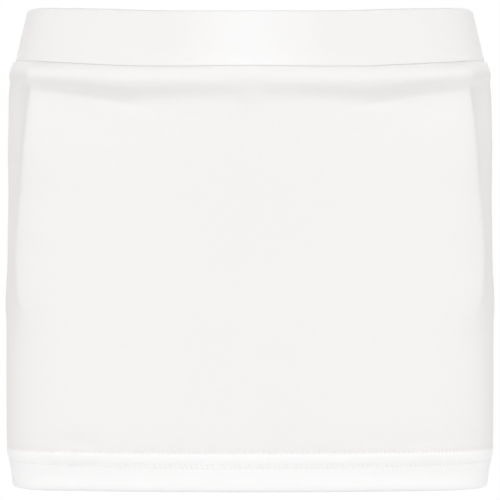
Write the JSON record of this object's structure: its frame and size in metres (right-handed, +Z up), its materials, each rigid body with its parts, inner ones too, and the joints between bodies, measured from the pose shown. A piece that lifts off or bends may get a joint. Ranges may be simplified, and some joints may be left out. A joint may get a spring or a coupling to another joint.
{
  "type": "tennis skirt",
  "caption": "Straight white pull-on tennis skirt with a wide elastic waistband, a soft roll under it and a turned hem, filled out as worn, hollow and open at both ends.",
  "frame": {"origin": "centre of the waist opening, half way up the waistband", "axes": "+Z up along the wearer's trunk, -Y to the front, +X to the wearer's left"},
  "size_m": [0.264, 0.1929, 0.2586],
  "materials": {
    "knit": "white single-layer sports knit, fine and matt",
    "waistband": "the same white knit, double over elastic, so it looks whiter"
  },
  "bodies": {
    "root": {"waistband": "waistband", "front_panel": "knit", "back_panel": "knit"}
  },
  "joints": []
}
